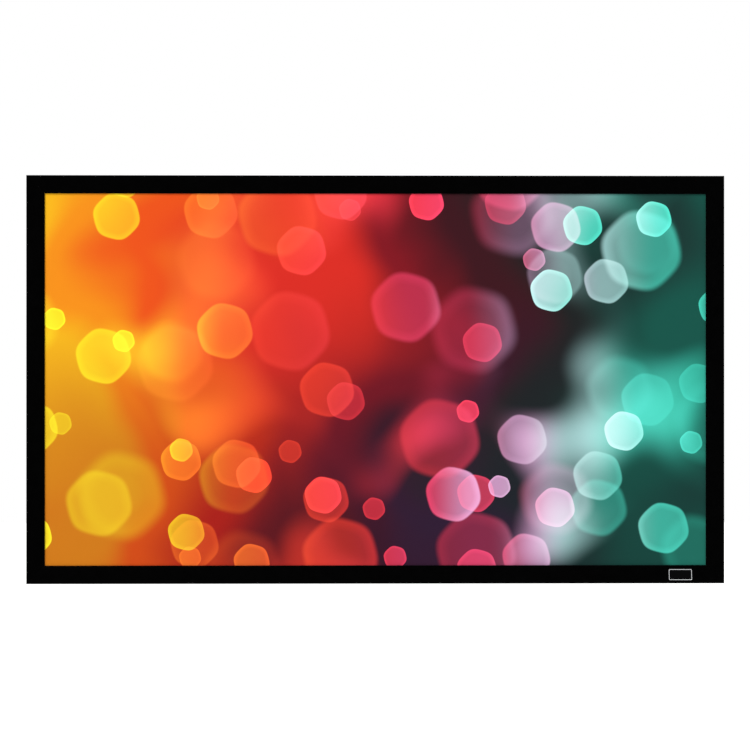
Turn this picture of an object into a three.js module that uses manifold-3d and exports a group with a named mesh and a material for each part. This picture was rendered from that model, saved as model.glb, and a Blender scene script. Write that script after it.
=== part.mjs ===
// A fixed frame projector screen with a 100 inch, 16:9 picture area, made to hang on a wall.
//
// Millimetres, +Z up. The viewer stands on the -Y side. The origin lies on the wall, behind the
// centre of the picture. A depth is measured forward from the wall: depth d is at y = -d.
// The frame is made of mitred aluminium rails wrapped in velvet and pulled together by plates in
// a channel on their backs. The screen sheet has a rod in a pocket along each edge, and a row of
// springs pulls every rod out towards a hooked lip on the rails.
//
// Each side of the frame has a frame of its own, in which X runs along the side, Z points away
// from the picture and Z = 0 is the edge of the picture. A section is drawn in (out, depth).

import * as THREE from "three";
import { mergeVertices } from "three/addons/utils/BufferGeometryUtils.js";
import Module from "manifold-3d";

const wasm = await Module();
wasm.setup();

// Picture and border, as they are seen from the front
const pictureWidth = 2214;
const pictureHeight = 1245;
const borderWidth = 60;

// Clearances
const seatGap = 0.3; // between a piece and what it is seated on
const wallClearance = 0.5; // between the rails and the plates of the wall brackets

// Rail section
const railDepth = 33;
const railWall = 1.8;
const faceRise = 11; // the inner lip lies this much behind the outer land
const outerLand = 9; // flat band along the outer edge
const outerRound = 1.5;
const lipWidth = 4;
const lipDepth = 3;
const channelWidth = 13.7;
const channelDepth = 8;
const slotWidth = 7; // the channel's mouth
const gutterWidth = 3.9; // between the hooked lip and the channel's wall
const gutterDepth = 4;

// Velvet
const velvetThickness = 0.7;
const velvetTuck = 4; // behind the inner lip
const velvetTurn = 4.8; // over the back of the rail

// Screen sheet and its pockets
const sheetThickness = 0.5;
const sheetCornerCut = 20;
const pocketReach = 9; // from the rod's centre to where the two plies meet
const seamWidth = 10; // the welded part of the turned-over ply
const pocketEnd = 45; // from the edge of the picture's side to the end of the pocket
const notchRadius = 9;

// Rods and springs
const rodDiameter = 5;
const rodOut = 13; // from the edge of the picture to the rod's centre
const rodShow = 6; // how far a rod stands out of its pocket
const springWire = 1.2;
const springDiameter = 7;
const springTurns = 4;
const springPitch = 225; // the most room along a side for each spring
const springLead = 5.5; // from the rod's centre to the first coil
const springTail = 4; // from the last coil to the hooked lip

// Corner and centre joints
const plateThickness = 4;
const plateTip = 3; // cut off each corner at a plate's ends
const elbowLeg = 110;
const joinerLength = 200;
const setScrewDiameter = 6;
const setScrewLength = 8.4;
const hexSocket = 3; // across the flats
const screwInset = 14; // from a plate's end to its last screw
const screwPitch = 45;

// Support bar behind the sheet
const barWidth = 30;
const barDepth = 9;
const barWall = 1.5;
const barCorner = 2;
const barClearance = 0.7; // behind the springs
const capPlug = 25; // how far a cap reaches into the bar
const capHead = 3; // how much of a cap shows between the bar and the hooked lip

// Wall brackets
const bracketLength = 100;
const bracketThickness = 2.5;
const bracketInset = 443; // from the side of the picture to a bracket's middle
const bracketFoot = 10; // from the edge of the picture to the plate's free edge
const wallSlotLength = 14;
const wallSlotWidth = 5.5;
const wallSlotPitch = 35;
const wallSlotCount = 3;
const wallSlotOut = 23; // from the edge of the picture

// Badge plate on the lower rail
const badgeWidth = 77;
const badgeHeight = 36;
const badgeThickness = 1.6;
const badgeCorner = 4;
const badgeRim = 2.4;
const badgeRecess = 0.6;
const badgeInset = 87; // from the side of the picture to the badge's centre
const badgeOut = 31; // from the lower edge of the picture to the badge's centre

// Facets
const rodSides = 10;
const wireSides = 3;
const eyeSteps = 4; // steps along a spring's eye
const turnSteps = 5; // steps in each turn of a coil
const notchSides = 8;
const screwSides = 8;
const holeSegments = 5;
const cornerSegments = 2;
const foldSegments = 4;
const slotSegments = 3;

// Depths and places that follow from the sizes above
const wrap = velvetThickness + seatGap;
const railInner = wrap;
const railOuter = borderWidth - wrap;
const railBack = bracketThickness + wallClearance;
const railFront = railBack + railDepth;
const lipFront = railFront - faceRise;
const lipBack = lipFront - lipDepth;
const landInner = railOuter - outerLand;
const faceSlope = Math.atan2(faceRise, landInner - railInner);
const channelOuter = railOuter - railWall;
const channelInner = channelOuter - channelWidth;
const channelCentre = (channelInner + channelOuter) / 2;
const channelMouth = railBack + railWall;
const channelFloor = channelMouth + channelDepth;
const slotInner = channelCentre - slotWidth / 2;
const slotOuter = channelCentre + slotWidth / 2;
const webInner = channelInner - railWall;
const hookLipOuter = webInner - gutterWidth;
const hookLipInner = hookLipOuter - railWall;

const rodRadius = rodDiameter / 2;
const pocketRadius = rodRadius + seatGap;
const sheetFront = lipBack - wrap - seatGap;
const rodDepth = sheetFront - sheetThickness - pocketRadius;
const sheetOut = rodOut + pocketRadius + sheetThickness;
const rodEnd = pocketEnd - rodShow;

const wireRadius = springWire / 2;
const coilRadius = springDiameter / 2 - wireRadius;
const hookLipTip = rodDepth - coilRadius + wireRadius; // so that the tails leave the coils straight
const gutterFloor = hookLipTip + gutterDepth;

const plateBack = channelMouth + seatGap;
const plateWidth = channelWidth - 2 * seatGap;
const setScrewFront = channelFloor - seatGap;
const barFront = rodDepth - springDiameter / 2 - barClearance;
const barBack = barFront - barDepth;

// The depth of the rail's front face, and of a surface that far in front of it.
function faceDepth(out, above = 0) {
  const sloped = lipFront + (out - railInner) * Math.tan(faceSlope) + above / Math.cos(faceSlope);
  return Math.min(sloped, railFront + above);
}

// Where that surface turns from the slope to the flat land.
function landStart(above) {
  return landInner - above * Math.tan(faceSlope / 2);
}

// Colours and finishes
const materials = {
  aluminium: new THREE.MeshStandardMaterial({ color: 0xb9bbbd, roughness: 0.38, metalness: 1 }),
  velvet: new THREE.MeshStandardMaterial({ color: 0x050505, roughness: 1, metalness: 0 }),
  sheet: new THREE.MeshStandardMaterial({ color: 0xf2f2f0, roughness: 0.9, metalness: 0 }),
  rod: new THREE.MeshStandardMaterial({ color: 0xd8d6c8, roughness: 0.5, metalness: 0 }),
  zincSteel: new THREE.MeshStandardMaterial({ color: 0x9a9da0, roughness: 0.4, metalness: 1 }),
  blackSteel: new THREE.MeshStandardMaterial({ color: 0x18181a, roughness: 0.5, metalness: 0.6 }),
  anodised: new THREE.MeshStandardMaterial({ color: 0x1b1b1d, roughness: 0.45, metalness: 0.8 }),
  plastic: new THREE.MeshStandardMaterial({ color: 0x101011, roughness: 0.6, metalness: 0 }),
  badge: new THREE.MeshStandardMaterial({ color: 0x1c1c1e, roughness: 0.3, metalness: 0.8 }),
};

// Solids for joining and cutting
function solidOf(geometry) {
  const bare = new THREE.BufferGeometry();
  bare.setAttribute("position", geometry.getAttribute("position"));
  if (geometry.index) bare.setIndex(geometry.index);
  const merged = mergeVertices(bare, 1e-4);
  return new wasm.Manifold(
    new wasm.Mesh({
      numProp: 3,
      vertProperties: new Float32Array(merged.getAttribute("position").array),
      triVerts: new Uint32Array(merged.index.array),
    }),
  );
}

function geometryOf(solid) {
  const mesh = solid.getMesh();
  const geometry = new THREE.BufferGeometry();
  geometry.setAttribute("position", new THREE.BufferAttribute(mesh.vertProperties, 3));
  geometry.setIndex(new THREE.BufferAttribute(mesh.triVerts, 1));
  return geometry.toNonIndexed();
}

function joined(geometries) {
  return geometries.map(solidOf).reduce((sum, next) => sum.add(next));
}

function cut(solid, geometries) {
  return geometries.map(solidOf).reduce((left, tool) => left.subtract(tool), solid);
}

// A section in (out, depth) drawn out along a side, whose ends may lie further along as it goes
// out, as a mitre's do.
function alongSide(section, startAt, endAt, curveSegments = cornerSegments) {
  const geometry = new THREE.ExtrudeGeometry(section, { depth: 1, bevelEnabled: false, curveSegments });
  const position = geometry.getAttribute("position");
  for (let i = 0; i < position.count; i += 1) {
    const out = position.getX(i);
    const depth = position.getY(i);
    const along = position.getZ(i) > 0.5 ? endAt(out) : startAt(out);
    position.setXYZ(i, along, -depth, out);
  }
  geometry.computeVertexNormals();
  return geometry;
}

// An outline in (x, z) with its back at one depth and its front at another.
function plate(outline, back, front, curveSegments = cornerSegments) {
  const geometry = new THREE.ExtrudeGeometry(outline, {
    depth: front - back,
    bevelEnabled: false,
    curveSegments,
  });
  return geometry.rotateX(Math.PI / 2).translate(0, -back, 0);
}

function outlineOf(points) {
  return new THREE.Shape(points.map(([x, y]) => new THREE.Vector2(x, y)));
}

function roundedRectangle(width, height, radius, Kind = THREE.Shape) {
  const x = width / 2 - radius;
  const y = height / 2 - radius;
  const outline = new Kind();
  outline.absarc(x, y, radius, 0, Math.PI / 2, false);
  outline.absarc(-x, y, radius, Math.PI / 2, Math.PI, false);
  outline.absarc(-x, -y, radius, Math.PI, 1.5 * Math.PI, false);
  outline.absarc(x, -y, radius, 1.5 * Math.PI, 2 * Math.PI, false);
  outline.closePath();
  return outline;
}

function slotOutline(length, width) {
  const radius = width / 2;
  const x = length / 2 - radius;
  const outline = new THREE.Shape();
  outline.absarc(x, 0, radius, -Math.PI / 2, Math.PI / 2, false);
  outline.absarc(-x, 0, radius, Math.PI / 2, 1.5 * Math.PI, false);
  outline.closePath();
  return outline;
}

function circleHole(x, y, radius) {
  return new THREE.Path().absarc(x, y, radius, 0, 2 * Math.PI, true);
}

const screen = new THREE.Group();
screen.name = "fixed_frame_projector_screen";

function addPiece(parent, name, geometry, material) {
  const mesh = new THREE.Mesh(geometry, material);
  mesh.name = name;
  parent.add(mesh);
  return mesh;
}

// The four sides. turn is about +Y and brings a side's own Z to the way that it faces.
const sides = [
  { name: "top", turn: 0, length: pictureWidth, across: pictureHeight, halves: ["left", "right"] },
  { name: "right", turn: Math.PI / 2, length: pictureHeight, across: pictureWidth },
  { name: "bottom", turn: Math.PI, length: pictureWidth, across: pictureHeight, halves: ["right", "left"] },
  { name: "left", turn: -Math.PI / 2, length: pictureHeight, across: pictureWidth },
];

const [topSide, , bottomSide] = sides;

for (const side of sides) {
  const reach = side.across / 2;
  side.group = new THREE.Group();
  side.group.rotation.y = side.turn;
  side.group.position.set(reach * Math.sin(side.turn), 0, reach * Math.cos(side.turn));
  side.group.updateMatrix();
  screen.add(side.group);
  const perHalf = Math.max(1, Math.ceil(side.length / 2 / springPitch));
  side.springs = [];
  for (let i = 0; i < 2 * perHalf; i += 1) {
    side.springs.push(((i + 0.5) / (2 * perHalf) - 0.5) * side.length);
  }
}

// A wide side is made in two halves that butt at its middle, and a short one in a single length.
// cornerEnd gives how far along the side a piece reaches at its corner end.
function lengthsOf(side, cornerEnd) {
  const butt = () => seatGap / 2;
  const near = (out) => -cornerEnd(out);
  if (!side.halves) return [{ label: side.name, startAt: near, endAt: cornerEnd }];
  return [
    { label: `${side.name}_${side.halves[0]}`, startAt: near, endAt: () => -butt() },
    { label: `${side.name}_${side.halves[1]}`, startAt: butt, endAt: cornerEnd },
  ];
}

// Rails: one extrusion with a sloped face, a closed box, an open channel at the back for the
// joint plates, and a hooked lip that the springs catch on.
function railSection() {
  const underside = (out) => faceDepth(out, -railWall);
  const section = new THREE.Shape();
  section.moveTo(railInner, lipBack);
  section.lineTo(railInner, lipFront);
  section.lineTo(landInner, railFront);
  section.absarc(railOuter - outerRound, railFront - outerRound, outerRound, Math.PI / 2, 0, true);
  section.lineTo(railOuter, railBack);
  section.lineTo(slotOuter, railBack);
  section.lineTo(slotOuter, channelMouth);
  section.lineTo(channelOuter, channelMouth);
  section.lineTo(channelOuter, channelFloor);
  section.lineTo(channelInner, channelFloor);
  section.lineTo(channelInner, channelMouth);
  section.lineTo(slotInner, channelMouth);
  section.lineTo(slotInner, railBack);
  section.lineTo(webInner, railBack);
  section.lineTo(webInner, gutterFloor);
  section.lineTo(hookLipOuter, gutterFloor);
  section.lineTo(hookLipOuter, hookLipTip);
  section.lineTo(hookLipInner, hookLipTip);
  section.lineTo(hookLipInner, gutterFloor + railWall);
  section.lineTo(webInner, gutterFloor + railWall);
  section.lineTo(webInner, underside(webInner));
  section.lineTo(railInner + lipWidth, underside(railInner + lipWidth));
  section.lineTo(railInner + lipWidth, lipBack);
  section.closePath();

  const box = new THREE.Path();
  box.moveTo(channelInner, channelFloor + railWall);
  box.lineTo(channelOuter, channelFloor + railWall);
  box.lineTo(channelOuter, railFront - railWall);
  box.lineTo(landStart(-railWall), railFront - railWall);
  box.lineTo(channelInner, underside(channelInner));
  box.closePath();
  section.holes.push(box);
  return section;
}

// Velvet: glued round the rail from behind the inner lip, over the face and the outer side, to
// the rail's back.
function velvetSection() {
  const outer = wrap;
  const inner = seatGap;
  const outerTurn = outerRound + outer;
  const innerTurn = outerRound + inner;
  const section = new THREE.Shape();
  section.moveTo(railInner + velvetTuck - outer, lipBack - outer);
  section.lineTo(railInner - outer, lipBack - outer);
  section.lineTo(railInner - outer, faceDepth(railInner - outer, outer));
  section.lineTo(landStart(outer), railFront + outer);
  section.absarc(railOuter - outerRound, railFront - outerRound, outerTurn, Math.PI / 2, 0, true);
  section.lineTo(railOuter + outer, railBack - outer);
  section.lineTo(railOuter - velvetTurn, railBack - outer);
  section.lineTo(railOuter - velvetTurn, railBack - inner);
  section.lineTo(railOuter + inner, railBack - inner);
  section.absarc(railOuter - outerRound, railFront - outerRound, innerTurn, 0, Math.PI / 2, false);
  section.lineTo(landStart(inner), railFront + inner);
  section.lineTo(railInner - inner, faceDepth(railInner - inner, inner));
  section.lineTo(railInner - inner, lipBack - inner);
  section.lineTo(railInner + velvetTuck - outer, lipBack - inner);
  section.closePath();
  return section;
}

function addRailsAndVelvet(side) {
  const mitre = (out) => side.length / 2 + out - seatGap / 2;
  for (const { label, startAt, endAt } of lengthsOf(side, mitre)) {
    addPiece(side.group, `${label}_rail`, alongSide(railSection(), startAt, endAt), materials.aluminium);
    addPiece(side.group, `${label}_velvet`, alongSide(velvetSection(), startAt, endAt), materials.velvet);
  }
}

// Springs: a wire eye round the rod, open coils under tension, and a tail that goes back over
// the hooked lip and down into the gutter. The wire is worked out about the rod's centre, with
// x along the rod, y towards the wall and z out from the picture. The eye's free end beds into
// the rod, which makes each rod and its springs one solid.
class WireLine extends THREE.Curve {
  constructor(points) {
    super();
    this.points = points;
  }
  getPoint(t, target = new THREE.Vector3()) {
    const at = Math.min(Math.max(t, 0), 1) * (this.points.length - 1);
    const i = Math.min(Math.floor(at), this.points.length - 2);
    return target.lerpVectors(this.points[i], this.points[i + 1], at - i);
  }
  // Steps fall on the listed points, and not at equal lengths along the wire.
  getUtoTmapping(u) {
    return u;
  }
}

function springLine() {
  const points = [];
  const eyeStart = (-40 * Math.PI) / 180;
  const eyeEnd = (-270 * Math.PI) / 180;
  for (let i = 0; i <= eyeSteps; i += 1) {
    const angle = eyeStart + ((eyeEnd - eyeStart) * i) / eyeSteps;
    const radius = i === 0 ? rodRadius : rodRadius + seatGap + wireRadius;
    points.push(new THREE.Vector3(0, radius * Math.sin(angle), radius * Math.cos(angle)));
  }
  const lipAt = hookLipInner - rodOut;
  const coilLength = lipAt - springTail - springLead;
  const steps = springTurns * turnSteps;
  for (let i = 0; i <= steps; i += 1) {
    const angle = (2 * Math.PI * i) / turnSteps;
    const z = springLead + (coilLength * i) / steps;
    points.push(new THREE.Vector3(coilRadius * Math.sin(angle), coilRadius * Math.cos(angle), z));
  }
  const behindTip = rodDepth - hookLipTip + seatGap + wireRadius;
  const pastLip = hookLipOuter - rodOut + seatGap + wireRadius;
  points.push(new THREE.Vector3(0, behindTip, lipAt));
  points.push(new THREE.Vector3(0, behindTip, pastLip - wireRadius));
  points.push(new THREE.Vector3(0, behindTip - wireRadius, pastLip));
  points.push(new THREE.Vector3(0, behindTip - gutterDepth / 2 - wireRadius, pastLip));
  return points;
}

function springGeometry() {
  const points = springLine();
  const corners = [];
  for (let i = 0; i < wireSides; i += 1) {
    const angle = (2 * Math.PI * i) / wireSides;
    corners.push([wireRadius * Math.cos(angle), wireRadius * Math.sin(angle)]);
  }
  const section = outlineOf(corners);
  return new THREE.ExtrudeGeometry(section, {
    steps: points.length - 1,
    extrudePath: new WireLine(points),
  });
}

// Rods: a glass fibre rod in the pocket of each side, with its springs.
function addRods(side) {
  const rodLimit = () => side.length / 2 - rodEnd;
  for (const { label, startAt, endAt } of lengthsOf(side, rodLimit)) {
    const start = startAt(rodOut);
    const end = endAt(rodOut);
    const rod = new THREE.CylinderGeometry(rodRadius, rodRadius, end - start, rodSides)
      .rotateZ(Math.PI / 2)
      .translate((start + end) / 2, 0, 0);
    const springs = side.springs
      .filter((at) => at > start && at < end)
      .map((at) => springGeometry().translate(at, 0, 0));
    const solid = joined([rod, ...springs]);
    const mesh = addPiece(side.group, `${label}_tension_rod`, geometryOf(solid), materials.rod);
    mesh.position.set(0, -rodDepth, rodOut);
  }
}

// Screen sheet: one cloth whose edges are turned back round the rods and welded, with a
// half-moon notch through the fold wherever a spring takes hold of its rod.
function pocketSection() {
  const turn = 2 * Math.atan(pocketRadius / pocketReach);
  const foldEnd = -Math.PI / 2 - turn;
  const sheetBack = sheetFront - sheetThickness;
  const seamBack = sheetBack - sheetThickness;
  const foldRadius = pocketRadius + sheetThickness;
  const meet = rodOut - pocketReach;
  const leave = {
    out: rodOut + foldRadius * Math.cos(foldEnd),
    depth: rodDepth + foldRadius * Math.sin(foldEnd),
  };
  const section = new THREE.Shape();
  section.moveTo(meet - seamWidth, sheetFront);
  section.lineTo(rodOut, sheetFront);
  section.absarc(rodOut, rodDepth, foldRadius, Math.PI / 2, foldEnd, true);
  section.lineTo(leave.out - (seamBack - leave.depth) / Math.tan(turn), seamBack);
  section.lineTo(meet - seamWidth, seamBack);
  section.closePath();

  const pocket = new THREE.Path();
  pocket.absarc(rodOut, rodDepth, pocketRadius, foldEnd, Math.PI / 2, false);
  pocket.lineTo(meet, sheetBack);
  pocket.closePath();
  section.holes.push(pocket);
  return section;
}

function addSheet() {
  const x = pictureWidth / 2 + rodOut;
  const z = pictureHeight / 2 + rodOut;
  const c = sheetCornerCut;
  const outline = outlineOf([
    [x, c - z],
    [x, z - c],
    [x - c, z],
    [c - x, z],
    [-x, z - c],
    [-x, c - z],
    [c - x, -z],
    [x - c, -z],
  ]);
  const cloth = [plate(outline, sheetFront - sheetThickness, sheetFront)];
  const notches = [];
  for (const side of sides) {
    const end = side.length / 2 - pocketEnd;
    const pocket = alongSide(pocketSection(), () => -end, () => end, foldSegments);
    cloth.push(pocket.applyMatrix4(side.group.matrix));
    for (const at of side.springs) {
      const notch = new THREE.CylinderGeometry(notchRadius, notchRadius, 4 * rodDiameter, notchSides);
      notch.translate(at, -rodDepth, sheetOut);
      notches.push(notch.applyMatrix4(side.group.matrix));
    }
  }
  addPiece(screen, "screen_sheet", geometryOf(cut(joined(cloth), notches)), materials.sheet);
}

// Joint plates: an elbow in each corner and a straight joiner in the middle of each wide side,
// held in the channel by set screws that press on its floor.
function setScrewGeometry() {
  const radius = setScrewDiameter / 2;
  const profile = [
    [0, 0],
    [radius, radius / 2],
    [radius, setScrewLength],
    [0, setScrewLength],
  ].map(([r, y]) => new THREE.Vector2(r, y));
  const body = new THREE.LatheGeometry(profile, screwSides);
  const socketDepth = setScrewLength / 3;
  const acrossCorners = hexSocket / Math.cos(Math.PI / 6);
  const socket = new THREE.CylinderGeometry(acrossCorners / 2, acrossCorners / 2, 2 * socketDepth, 6);
  socket.translate(0, setScrewLength, 0);
  return geometryOf(cut(solidOf(body), [socket]));
}

const setScrew = setScrewGeometry();

// places are (x, z) in the joint's own group.
function addSetScrews(parent, joint, places) {
  places.forEach(([x, z], i) => {
    const screw = addPiece(parent, `${joint}_screw_${i + 1}`, setScrew, materials.blackSteel);
    screw.position.set(x, -setScrewFront, z);
  });
}

function withScrewHoles(outline, places) {
  const radius = setScrewDiameter / 2 + seatGap;
  outline.holes.push(...places.map(([x, z]) => circleHole(x, z, radius)));
  return outline;
}

// The elbow's own origin is where the centrelines of the two channels cross.
function addElbow(name, turn, x, z) {
  const group = new THREE.Group();
  group.rotation.y = turn;
  group.position.set(x, 0, z);
  screen.add(group);
  const half = plateWidth / 2;
  const outline = outlineOf([
    [half, plateTip - half],
    [half, half - plateTip],
    [half - plateTip, half],
    [plateTip - elbowLeg, half],
    [-elbowLeg, half - plateTip],
    [-elbowLeg, plateTip - half],
    [plateTip - elbowLeg, -half],
    [-half, -half],
    [-half, plateTip - elbowLeg],
    [plateTip - half, -elbowLeg],
    [half - plateTip, -elbowLeg],
    [half, plateTip - elbowLeg],
  ]);
  const outer = screwInset - elbowLeg;
  const places = [
    [outer, 0],
    [outer + screwPitch, 0],
    [0, outer + screwPitch],
    [0, outer],
  ];
  const drilled = withScrewHoles(outline, places);
  const geometry = plate(drilled, plateBack, plateBack + plateThickness, holeSegments);
  addPiece(group, name, geometry, materials.zincSteel);
  addSetScrews(group, name, places);
}

function addJoiner(side) {
  const outer = joinerLength / 2 - screwInset;
  const places = [-outer, screwPitch - outer, outer - screwPitch, outer].map((x) => [x, 0]);
  const x = joinerLength / 2;
  const z = plateWidth / 2;
  const outline = outlineOf([
    [x, plateTip - z],
    [x, z - plateTip],
    [x - plateTip, z],
    [plateTip - x, z],
    [-x, z - plateTip],
    [-x, plateTip - z],
    [plateTip - x, -z],
    [x - plateTip, -z],
  ]);
  const group = new THREE.Group();
  group.position.z = channelCentre;
  side.group.add(group);
  const name = `${side.name}_joiner`;
  const drilled = withScrewHoles(outline, places);
  const geometry = plate(drilled, plateBack, plateBack + plateThickness, holeSegments);
  addPiece(group, name, geometry, materials.zincSteel);
  addSetScrews(group, name, places);
}

function addJoints() {
  const x = pictureWidth / 2 + channelCentre;
  const z = pictureHeight / 2 + channelCentre;
  addElbow("top_right_elbow", 0, x, z);
  addElbow("bottom_right_elbow", Math.PI / 2, x, -z);
  addElbow("bottom_left_elbow", Math.PI, -x, -z);
  addElbow("top_left_elbow", -Math.PI / 2, -x, z);
  sides.filter((side) => side.halves).forEach(addJoiner);
}

// Support bar: a flat tube across the middle, with a cap in each end whose tongue drops into
// the gutters of the upper and lower rails.
function addSupportBar() {
  const barEnd = hookLipInner - seatGap - capHead;
  const ring = roundedRectangle(barWidth, barDepth, barCorner);
  const bore = roundedRectangle(barWidth - 2 * barWall, barDepth - 2 * barWall, barCorner / 2, THREE.Path);
  ring.holes.push(bore);
  const length = pictureHeight + 2 * barEnd;
  const tube = new THREE.ExtrudeGeometry(ring, {
    depth: length,
    bevelEnabled: false,
    curveSegments: cornerSegments,
  });
  const bar = addPiece(screen, "support_bar", tube, materials.aluminium);
  bar.position.set(0, -(barFront + barBack) / 2, -length / 2);

  const headStart = barEnd + seatGap;
  const headEnd = webInner - seatGap;
  const tongueStart = hookLipOuter + seatGap;
  const head = outlineOf([
    [headStart, barBack],
    [headEnd, barBack],
    [headEnd, gutterFloor - seatGap],
    [tongueStart, gutterFloor - seatGap],
    [tongueStart, barFront],
    [headStart, barFront],
  ]);
  const plugGap = barWall + seatGap;
  const plug = outlineOf([
    [headStart - capPlug, barBack + plugGap],
    [headStart, barBack + plugGap],
    [headStart, barFront - plugGap],
    [headStart - capPlug, barFront - plugGap],
  ]);
  const plugHalf = barWidth / 2 - plugGap;
  for (const side of sides.filter((one) => one.halves)) {
    const cap = joined([
      alongSide(head, () => -barWidth / 2, () => barWidth / 2),
      alongSide(plug, () => -plugHalf, () => plugHalf),
    ]);
    addPiece(side.group, `support_bar_${side.name}_cap`, geometryOf(cap), materials.plastic);
  }
}

// Wall brackets: short lengths of two extrusions whose hook stands up in the channel's mouth, so
// that the frame hangs on them and can be slid sideways. An upper one takes the outer lip of the
// mouth and a lower one the inner lip. The plates lie on the picture's side, behind the frame.
function wallBracketGeometry(section) {
  const half = bracketLength / 2;
  const bar = alongSide(section, () => -half, () => half);
  const slots = [];
  for (let i = 0; i < wallSlotCount; i += 1) {
    const outline = slotOutline(wallSlotLength, wallSlotWidth);
    const slot = plate(outline, -bracketThickness, 2 * bracketThickness, slotSegments);
    slots.push(slot.translate((i - (wallSlotCount - 1) / 2) * wallSlotPitch, 0, wallSlotOut));
  }
  return geometryOf(cut(solidOf(bar), slots));
}

function addWallBrackets() {
  const hookBack = channelMouth + seatGap;
  const hookFront = hookBack + bracketThickness;
  const upperShelf = slotOuter - seatGap;
  const upperTip = channelOuter - seatGap;
  const upper = outlineOf([
    [bracketFoot, 0],
    [upperShelf, 0],
    [upperShelf, hookBack],
    [upperTip, hookBack],
    [upperTip, hookFront],
    [upperShelf - bracketThickness, hookFront],
    [upperShelf - bracketThickness, bracketThickness],
    [bracketFoot, bracketThickness],
  ]);
  const lowerShelf = slotInner + seatGap;
  const lowerTip = channelInner + seatGap;
  const lower = outlineOf([
    [bracketFoot, 0],
    [lowerShelf + bracketThickness, 0],
    [lowerShelf + bracketThickness, hookFront],
    [lowerTip, hookFront],
    [lowerTip, hookBack],
    [lowerShelf, hookBack],
    [lowerShelf, bracketThickness],
    [bracketFoot, bracketThickness],
  ]);
  for (const [side, section] of [[topSide, upper], [bottomSide, lower]]) {
    const geometry = wallBracketGeometry(section);
    side.halves.forEach((half, i) => {
      const name = `${side.name}_${half}_wall_bracket`;
      const bracket = addPiece(side.group, name, geometry, materials.anodised);
      bracket.position.x = (2 * i - 1) * (side.length / 2 - bracketInset);
    });
  }
}

// Badge plate: blank, with a raised rim, stuck to the sloped face of the lower rail.
function addBadge() {
  const face = roundedRectangle(badgeWidth, badgeHeight, badgeCorner);
  const fieldWidth = badgeWidth - 2 * badgeRim;
  const fieldHeight = badgeHeight - 2 * badgeRim;
  const field = roundedRectangle(fieldWidth, fieldHeight, badgeCorner / 2);
  const blank = solidOf(plate(face, 0, badgeThickness));
  const recess = plate(field, badgeThickness - badgeRecess, 2 * badgeThickness);
  const badge = addPiece(bottomSide.group, "badge_plate", geometryOf(cut(blank, [recess])), materials.badge);
  badge.position.set(badgeInset - pictureWidth / 2, -faceDepth(badgeOut, wrap + seatGap), badgeOut);
  badge.rotation.x = faceSlope;
}

for (const side of sides) {
  addRailsAndVelvet(side);
  addRods(side);
}
addSheet();
addJoints();
addSupportBar();
addWallBrackets();
addBadge();

export default screen;
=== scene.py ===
from math import atan2, cos, pi, radians, sin, sqrt, tan

import bmesh
import bpy
from mathutils import Matrix, Vector


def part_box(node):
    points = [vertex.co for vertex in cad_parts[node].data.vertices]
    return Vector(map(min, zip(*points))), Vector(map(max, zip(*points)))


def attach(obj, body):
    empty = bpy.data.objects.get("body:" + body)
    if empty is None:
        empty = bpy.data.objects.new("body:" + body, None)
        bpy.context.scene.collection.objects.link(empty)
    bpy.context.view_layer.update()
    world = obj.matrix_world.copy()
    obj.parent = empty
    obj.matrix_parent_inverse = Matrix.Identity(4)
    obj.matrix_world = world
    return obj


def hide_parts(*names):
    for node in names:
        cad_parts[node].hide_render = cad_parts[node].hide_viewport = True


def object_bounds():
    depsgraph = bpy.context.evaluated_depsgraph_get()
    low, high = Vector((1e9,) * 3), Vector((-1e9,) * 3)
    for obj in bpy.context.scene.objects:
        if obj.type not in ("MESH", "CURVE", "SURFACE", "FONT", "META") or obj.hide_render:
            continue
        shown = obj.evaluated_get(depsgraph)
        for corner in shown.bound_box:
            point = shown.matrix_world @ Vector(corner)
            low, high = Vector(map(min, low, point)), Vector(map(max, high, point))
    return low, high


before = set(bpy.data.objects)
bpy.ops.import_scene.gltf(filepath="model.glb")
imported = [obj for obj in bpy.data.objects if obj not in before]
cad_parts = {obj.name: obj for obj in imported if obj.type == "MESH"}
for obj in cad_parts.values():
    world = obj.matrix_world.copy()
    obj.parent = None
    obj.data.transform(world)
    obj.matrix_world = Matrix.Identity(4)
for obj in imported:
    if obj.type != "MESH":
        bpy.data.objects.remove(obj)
cad_low, cad_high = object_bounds()

# Camera: the screen is seen as it hangs, level with its middle and almost straight on, through a
# long lens that stands a little to the left.
photo_pixels = 750
frame_pixels = 698.4  # for a frame that measures 697.3 in the photograph, past its rounded edges
pixels_right = 0.95  # how far the frame's middle lies from the photograph's
pixels_low = 4.6
camera_turn = radians(0.69)
lens = 100
sensor = 36
view_width = (cad_high.x - cad_low.x) * photo_pixels / frame_pixels
pixel_size = view_width / photo_pixels
camera_distance = view_width * lens / sensor

scene = bpy.context.scene


def link_piece(name, data):
    """A new object in the scene, made from that data."""
    piece = bpy.data.objects.new(name, data)
    scene.collection.objects.link(piece)
    return piece


camera_data = bpy.data.cameras.new("camera")
camera_data.lens = lens
camera_data.sensor_width = sensor
camera = link_piece("camera", camera_data)
camera.location = (
    -camera_distance * sin(camera_turn) - pixels_right * pixel_size,
    cad_low.y - camera_distance * cos(camera_turn),
    pixels_low * pixel_size,
)
camera.rotation_euler = (pi / 2, 0, -camera_turn)
scene.camera = camera
scene.view_settings.view_transform = "Standard"

# Light: a plain white studio. A broad key comes from high in front and a weaker one from behind,
# and the surroundings look pure white to the camera and in reflections.
surround_light = 0.6
background_white = 1.0
white = (1, 1, 1, 1)


def feed(tree, socket, value):
    """Links an output to the socket, or sets the socket to a plain value."""
    if isinstance(value, bpy.types.NodeSocket):
        tree.links.new(value, socket)
    else:
        socket.default_value = value


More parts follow.
